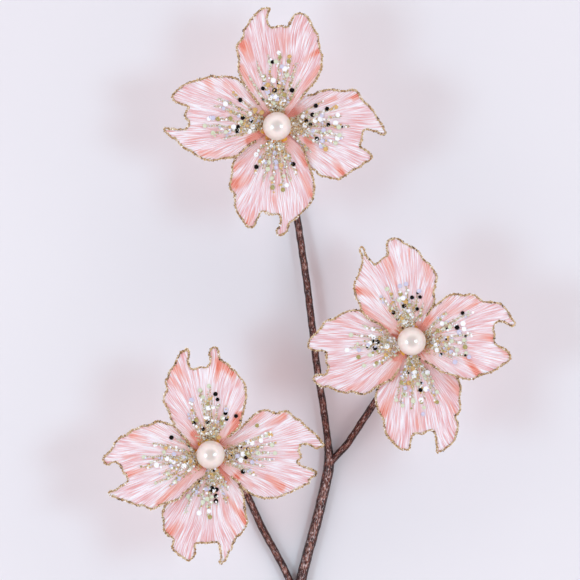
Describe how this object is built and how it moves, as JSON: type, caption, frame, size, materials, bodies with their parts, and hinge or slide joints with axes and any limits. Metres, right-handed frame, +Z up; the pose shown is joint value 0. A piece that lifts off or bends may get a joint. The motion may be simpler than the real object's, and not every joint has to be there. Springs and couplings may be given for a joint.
{
  "type": "artificial dogwood branch",
  "caption": "Lying spray of fabric dogwood blooms with notched pleated petals, glitter edges and pearl centres on a forked, taped wire stem.",
  "frame": {"origin": "middle of the bounding box, on the surface that the spray lies on", "axes": "+Y along the spray from the cut stem towards the top bloom, +Z up from the surface, +X across it"},
  "size_m": [0.2068, 0.4824, 0.0606],
  "materials": {
    "pink_satin": "pleated satin, pale pink",
    "gold_glitter": "dried glitter glue, old gold",
    "champagne_glitter": "dried glitter glue with hex sequins, champagne",
    "ivory_pearl": "faux pearl",
    "brown_tape": "waxed crepe paper tape, dark brown",
    "wire_steel": "cut florist wire"
  },
  "bodies": {
    "root": {"top_bloom_upper_petal": "pink_satin", "top_bloom_upper_petal_edge": "gold_glitter", "top_bloom_upper_petal_glitter": "champagne_glitter", "top_bloom_left_petal": "pink_satin", "top_bloom_left_petal_edge": "gold_glitter", "top_bloom_left_petal_glitter": "champagne_glitter", "top_bloom_lower_petal": "pink_satin", "top_bloom_lower_petal_edge": "gold_glitter", "top_bloom_lower_petal_glitter": "champagne_glitter", "top_bloom_right_petal": "pink_satin", "top_bloom_right_petal_edge": "gold_glitter", "top_bloom_right_petal_glitter": "champagne_glitter", "top_bloom_pearl": "ivory_pearl", "top_bloom_calyx": "brown_tape", "top_bloom_wire": "wire_steel", "right_bloom_upper_petal": "pink_satin", "right_bloom_upper_petal_edge": "gold_glitter", "right_bloom_upper_petal_glitter": "champagne_glitter", "right_bloom_left_petal": "pink_satin", "right_bloom_left_petal_edge": "gold_glitter", "right_bloom_left_petal_glitter": "champagne_glitter", "right_bloom_lower_petal": "pink_satin", "right_bloom_lower_petal_edge": "gold_glitter", "right_bloom_lower_petal_glitter": "champagne_glitter", "right_bloom_right_petal": "pink_satin", "right_bloom_right_petal_edge": "gold_glitter", "right_bloom_right_petal_glitter": "champagne_glitter", "right_bloom_pearl": "ivory_pearl", "right_bloom_calyx": "brown_tape", "right_bloom_wire": "wire_steel", "left_bloom_upper_petal": "pink_satin", "left_bloom_upper_petal_edge": "gold_glitter", "left_bloom_upper_petal_glitter": "champagne_glitter", "left_bloom_left_petal": "pink_satin", "left_bloom_left_petal_edge": "gold_glitter", "left_bloom_left_petal_glitter": "champagne_glitter", "left_bloom_lower_petal": "pink_satin", "left_bloom_lower_petal_edge": "gold_glitter", "left_bloom_lower_petal_glitter": "champagne_glitter", "left_bloom_right_petal": "pink_satin", "left_bloom_right_petal_edge": "gold_glitter", "left_bloom_right_petal_glitter": "champagne_glitter", "left_bloom_pearl": "ivory_pearl", "left_bloom_calyx": "brown_tape", "left_bloom_wire": "wire_steel", "taped_stem": "brown_tape"}
  },
  "joints": []
}
